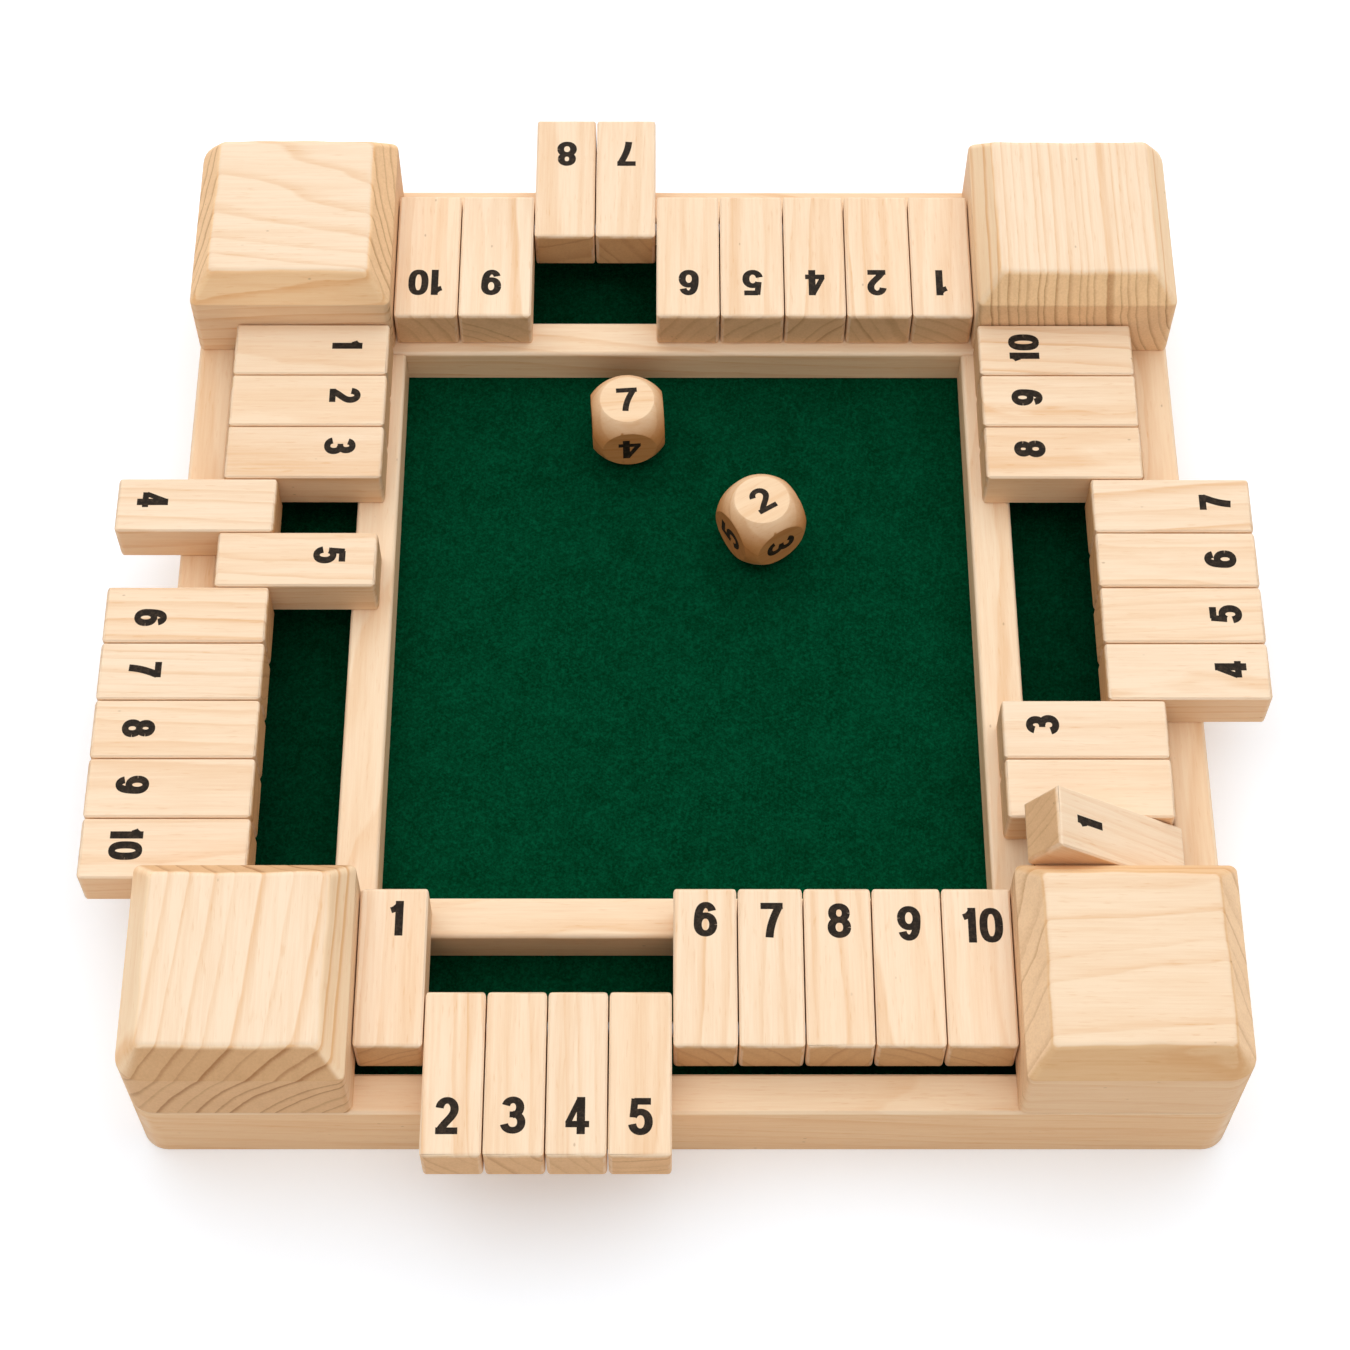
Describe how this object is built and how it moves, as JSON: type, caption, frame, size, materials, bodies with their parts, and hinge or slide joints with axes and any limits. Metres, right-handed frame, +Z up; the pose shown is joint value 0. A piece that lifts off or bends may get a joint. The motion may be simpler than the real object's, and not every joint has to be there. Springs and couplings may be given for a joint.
{
  "type": "shut the box game",
  "caption": "Wooden table game for four players: rows of numbered tiles turn over on steel rods along each side of a square felt-lined well for throwing dice",
  "frame": {"origin": "on the table, under the middle of the board", "axes": "+Z up; +X to the right and +Y to the far side as the front player sees it"},
  "size_m": [0.2456, 0.2556, 0.0454],
  "materials": {
    "base_wood": "plain sawn softwood board",
    "felt": "short matted wool felt, dark green",
    "rail_wood": "sanded pale softwood, satin",
    "block_wood": "sanded pale softwood with growth rings, satin",
    "rod_steel": "drawn steel wire",
    "tile_wood": "sanded pale softwood, satin, numbers printed in black",
    "dice_wood": "sanded close-grained hardwood, numbers printed in black"
  },
  "bodies": {
    "board": {"base_board": "base_wood", "felt": "felt", "outer_rail_front": "rail_wood", "outer_rail_right": "rail_wood", "outer_rail_back": "rail_wood", "outer_rail_left": "rail_wood", "inner_rail_front": "rail_wood", "inner_rail_right": "rail_wood", "inner_rail_back": "rail_wood", "inner_rail_left": "rail_wood", "corner_block_front_left": "block_wood", "corner_block_front_right": "block_wood", "corner_block_back_right": "block_wood", "corner_block_back_left": "block_wood", "rod_front": "rod_steel", "rod_right": "rod_steel", "rod_back": "rod_steel", "rod_left": "rod_steel"},
    "tile_front_1": {"tile_front_1": "tile_wood"},
    "tile_front_2": {"tile_front_2": "tile_wood"},
    "tile_front_3": {"tile_front_3": "tile_wood"},
    "tile_front_4": {"tile_front_4": "tile_wood"},
    "tile_front_5": {"tile_front_5": "tile_wood"},
    "tile_front_6": {"tile_front_6": "tile_wood"},
    "tile_front_7": {"tile_front_7": "tile_wood"},
    "tile_front_8": {"tile_front_8": "tile_wood"},
    "tile_front_9": {"tile_front_9": "tile_wood"},
    "tile_front_10": {"tile_front_10": "tile_wood"},
    "tile_right_1": {"tile_right_1": "tile_wood"},
    "tile_right_2": {"tile_right_2": "tile_wood"},
    "tile_right_3": {"tile_right_3": "tile_wood"},
    "tile_right_4": {"tile_right_4": "tile_wood"},
    "tile_right_5": {"tile_right_5": "tile_wood"},
    "tile_right_6": {"tile_right_6": "tile_wood"},
    "tile_right_7": {"tile_right_7": "tile_wood"},
    "tile_right_8": {"tile_right_8": "tile_wood"},
    "tile_right_9": {"tile_right_9": "tile_wood"},
    "tile_right_10": {"tile_right_10": "tile_wood"},
    "tile_back_1": {"tile_back_1": "tile_wood"},
    "tile_back_2": {"tile_back_2": "tile_wood"},
    "tile_back_4": {"tile_back_4": "tile_wood"},
    "tile_back_5": {"tile_back_5": "tile_wood"},
    "tile_back_6": {"tile_back_6": "tile_wood"},
    "tile_back_7": {"tile_back_7": "tile_wood"},
    "tile_back_8": {"tile_back_8": "tile_wood"},
    "tile_back_9": {"tile_back_9": "tile_wood"},
    "tile_back_10": {"tile_back_10": "tile_wood"},
    "tile_left_1": {"tile_left_1": "tile_wood"},
    "tile_left_2": {"tile_left_2": "tile_wood"},
    "tile_left_3": {"tile_left_3": "tile_wood"},
    "tile_left_4": {"tile_left_4": "tile_wood"},
    "tile_left_5": {"tile_left_5": "tile_wood"},
    "tile_left_6": {"tile_left_6": "tile_wood"},
    "tile_left_7": {"tile_left_7": "tile_wood"},
    "tile_left_8": {"tile_left_8": "tile_wood"},
    "tile_left_9": {"tile_left_9": "tile_wood"},
    "tile_left_10": {"tile_left_10": "tile_wood"},
    "die_1": {"die_1": "dice_wood"},
    "die_2": {"die_2": "dice_wood"}
  },
  "joints": [
    {"name": "tile_front_1_turn", "type": "hinge", "parent": "board", "child": "tile_front_1", "pos_m": [0, -0.0993, 0.0252], "axis": [1, 0, 0], "range_deg": [0, 180]},
    {"name": "tile_front_2_turn", "type": "hinge", "parent": "board", "child": "tile_front_2", "pos_m": [0, -0.0993, 0.0252], "axis": [1, 0, 0], "range_deg": [-180, 0]},
    {"name": "tile_front_3_turn", "type": "hinge", "parent": "board", "child": "tile_front_3", "pos_m": [0, -0.0993, 0.0252], "axis": [1, 0, 0], "range_deg": [-180, 0]},
    {"name": "tile_front_4_turn", "type": "hinge", "parent": "board", "child": "tile_front_4", "pos_m": [0, -0.0993, 0.0252], "axis": [1, 0, 0], "range_deg": [-180, 0]},
    {"name": "tile_front_5_turn", "type": "hinge", "parent": "board", "child": "tile_front_5", "pos_m": [0, -0.0993, 0.0252], "axis": [1, 0, 0], "range_deg": [-180, 0]},
    {"name": "tile_front_6_turn", "type": "hinge", "parent": "board", "child": "tile_front_6", "pos_m": [0, -0.0993, 0.0252], "axis": [1, 0, 0], "range_deg": [0, 180]},
    {"name": "tile_front_7_turn", "type": "hinge", "parent": "board", "child": "tile_front_7", "pos_m": [0, -0.0993, 0.0252], "axis": [1, 0, 0], "range_deg": [0, 180]},
    {"name": "tile_front_8_turn", "type": "hinge", "parent": "board", "child": "tile_front_8", "pos_m": [0, -0.0993, 0.0252], "axis": [1, 0, 0], "range_deg": [0, 180]},
    {"name": "tile_front_9_turn", "type": "hinge", "parent": "board", "child": "tile_front_9", "pos_m": [0, -0.0993, 0.0252], "axis": [1, 0, 0], "range_deg": [0, 180]},
    {"name": "tile_front_10_turn", "type": "hinge", "parent": "board", "child": "tile_front_10", "pos_m": [0, -0.0993, 0.0252], "axis": [1, 0, 0], "range_deg": [0, 180]},
    {"name": "tile_right_1_turn", "type": "hinge", "parent": "board", "child": "tile_right_1", "pos_m": [0.0943, 0, 0.0252], "axis": [0, 1, 0], "range_deg": [-35, 145]},
    {"name": "tile_right_2_turn", "type": "hinge", "parent": "board", "child": "tile_right_2", "pos_m": [0.0943, 0, 0.0252], "axis": [0, 1, 0], "range_deg": [0, 180]},
    {"name": "tile_right_3_turn", "type": "hinge", "parent": "board", "child": "tile_right_3", "pos_m": [0.0943, 0, 0.0252], "axis": [0, 1, 0], "range_deg": [0, 180]},
    {"name": "tile_right_4_turn", "type": "hinge", "parent": "board", "child": "tile_right_4", "pos_m": [0.0943, 0, 0.0252], "axis": [0, 1, 0], "range_deg": [-180, 0]},
    {"name": "tile_right_5_turn", "type": "hinge", "parent": "board", "child": "tile_right_5", "pos_m": [0.0943, 0, 0.0252], "axis": [0, 1, 0], "range_deg": [-180, 0]},
    {"name": "tile_right_6_turn", "type": "hinge", "parent": "board", "child": "tile_right_6", "pos_m": [0.0943, 0, 0.0252], "axis": [0, 1, 0], "range_deg": [-180, 0]},
    {"name": "tile_right_7_turn", "type": "hinge", "parent": "board", "child": "tile_right_7", "pos_m": [0.0943, 0, 0.0252], "axis": [0, 1, 0], "range_deg": [-180, 0]},
    {"name": "tile_right_8_turn", "type": "hinge", "parent": "board", "child": "tile_right_8", "pos_m": [0.0943, 0, 0.0252], "axis": [0, 1, 0], "range_deg": [0, 180]},
    {"name": "tile_right_9_turn", "type": "hinge", "parent": "board", "child": "tile_right_9", "pos_m": [0.0943, 0, 0.0252], "axis": [0, 1, 0], "range_deg": [0, 180]},
    {"name": "tile_right_10_turn", "type": "hinge", "parent": "board", "child": "tile_right_10", "pos_m": [0.0943, 0, 0.0252], "axis": [0, 1, 0], "range_deg": [0, 180]},
    {"name": "tile_back_1_turn", "type": "hinge", "parent": "board", "child": "tile_back_1", "pos_m": [0, 0.0993, 0.0252], "axis": [-1, 0, 0], "range_deg": [0, 180]},
    {"name": "tile_back_2_turn", "type": "hinge", "parent": "board", "child": "tile_back_2", "pos_m": [0, 0.0993, 0.0252], "axis": [-1, 0, 0], "range_deg": [0, 180]},
    {"name": "tile_back_4_turn", "type": "hinge", "parent": "board", "child": "tile_back_4", "pos_m": [0, 0.0993, 0.0252], "axis": [-1, 0, 0], "range_deg": [0, 180]},
    {"name": "tile_back_5_turn", "type": "hinge", "parent": "board", "child": "tile_back_5", "pos_m": [0, 0.0993, 0.0252], "axis": [-1, 0, 0], "range_deg": [0, 180]},
    {"name": "tile_back_6_turn", "type": "hinge", "parent": "board", "child": "tile_back_6", "pos_m": [0, 0.0993, 0.0252], "axis": [-1, 0, 0], "range_deg": [0, 180]},
    {"name": "tile_back_7_turn", "type": "hinge", "parent": "board", "child": "tile_back_7", "pos_m": [0, 0.0993, 0.0252], "axis": [-1, 0, 0], "range_deg": [-180, 0]},
    {"name": "tile_back_8_turn", "type": "hinge", "parent": "board", "child": "tile_back_8", "pos_m": [0, 0.0993, 0.0252], "axis": [-1, 0, 0], "range_deg": [-180, 0]},
    {"name": "tile_back_9_turn", "type": "hinge", "parent": "board", "child": "tile_back_9", "pos_m": [0, 0.0993, 0.0252], "axis": [-1, 0, 0], "range_deg": [0, 180]},
    {"name": "tile_back_10_turn", "type": "hinge", "parent": "board", "child": "tile_back_10", "pos_m": [0, 0.0993, 0.0252], "axis": [-1, 0, 0], "range_deg": [0, 180]},
    {"name": "tile_left_1_turn", "type": "hinge", "parent": "board", "child": "tile_left_1", "pos_m": [-0.0943, 0, 0.0252], "axis": [0, -1, 0], "range_deg": [0, 180]},
    {"name": "tile_left_2_turn", "type": "hinge", "parent": "board", "child": "tile_left_2", "pos_m": [-0.0943, 0, 0.0252], "axis": [0, -1, 0], "range_deg": [0, 180]},
    {"name": "tile_left_3_turn", "type": "hinge", "parent": "board", "child": "tile_left_3", "pos_m": [-0.0943, 0, 0.0252], "axis": [0, -1, 0], "range_deg": [0, 180]},
    {"name": "tile_left_4_turn", "type": "hinge", "parent": "board", "child": "tile_left_4", "pos_m": [-0.0943, 0, 0.0252], "axis": [0, -1, 0], "range_deg": [-180, 0]},
    {"name": "tile_left_5_turn", "type": "hinge", "parent": "board", "child": "tile_left_5", "pos_m": [-0.0943, 0, 0.0252], "axis": [0, -1, 0], "range_deg": [0, 180]},
    {"name": "tile_left_6_turn", "type": "hinge", "parent": "board", "child": "tile_left_6", "pos_m": [-0.0943, 0, 0.0252], "axis": [0, -1, 0], "range_deg": [-180, 0]},
    {"name": "tile_left_7_turn", "type": "hinge", "parent": "board", "child": "tile_left_7", "pos_m": [-0.0943, 0, 0.0252], "axis": [0, -1, 0], "range_deg": [-180, 0]},
    {"name": "tile_left_8_turn", "type": "hinge", "parent": "board", "child": "tile_left_8", "pos_m": [-0.0943, 0, 0.0252], "axis": [0, -1, 0], "range_deg": [-180, 0]},
    {"name": "tile_left_9_turn", "type": "hinge", "parent": "board", "child": "tile_left_9", "pos_m": [-0.0943, 0, 0.0252], "axis": [0, -1, 0], "range_deg": [-180, 0]},
    {"name": "tile_left_10_turn", "type": "hinge", "parent": "board", "child": "tile_left_10", "pos_m": [-0.0943, 0, 0.0252], "axis": [0, -1, 0], "range_deg": [-180, 0]},
    {"name": "die_1_lift", "type": "slide", "parent": "board", "child": "die_1", "axis": [0, 0, 1], "range_m": [0, 0.06]},
    {"name": "die_2_lift", "type": "slide", "parent": "board", "child": "die_2", "axis": [0, 0, 1], "range_m": [0, 0.06]}
  ]
}
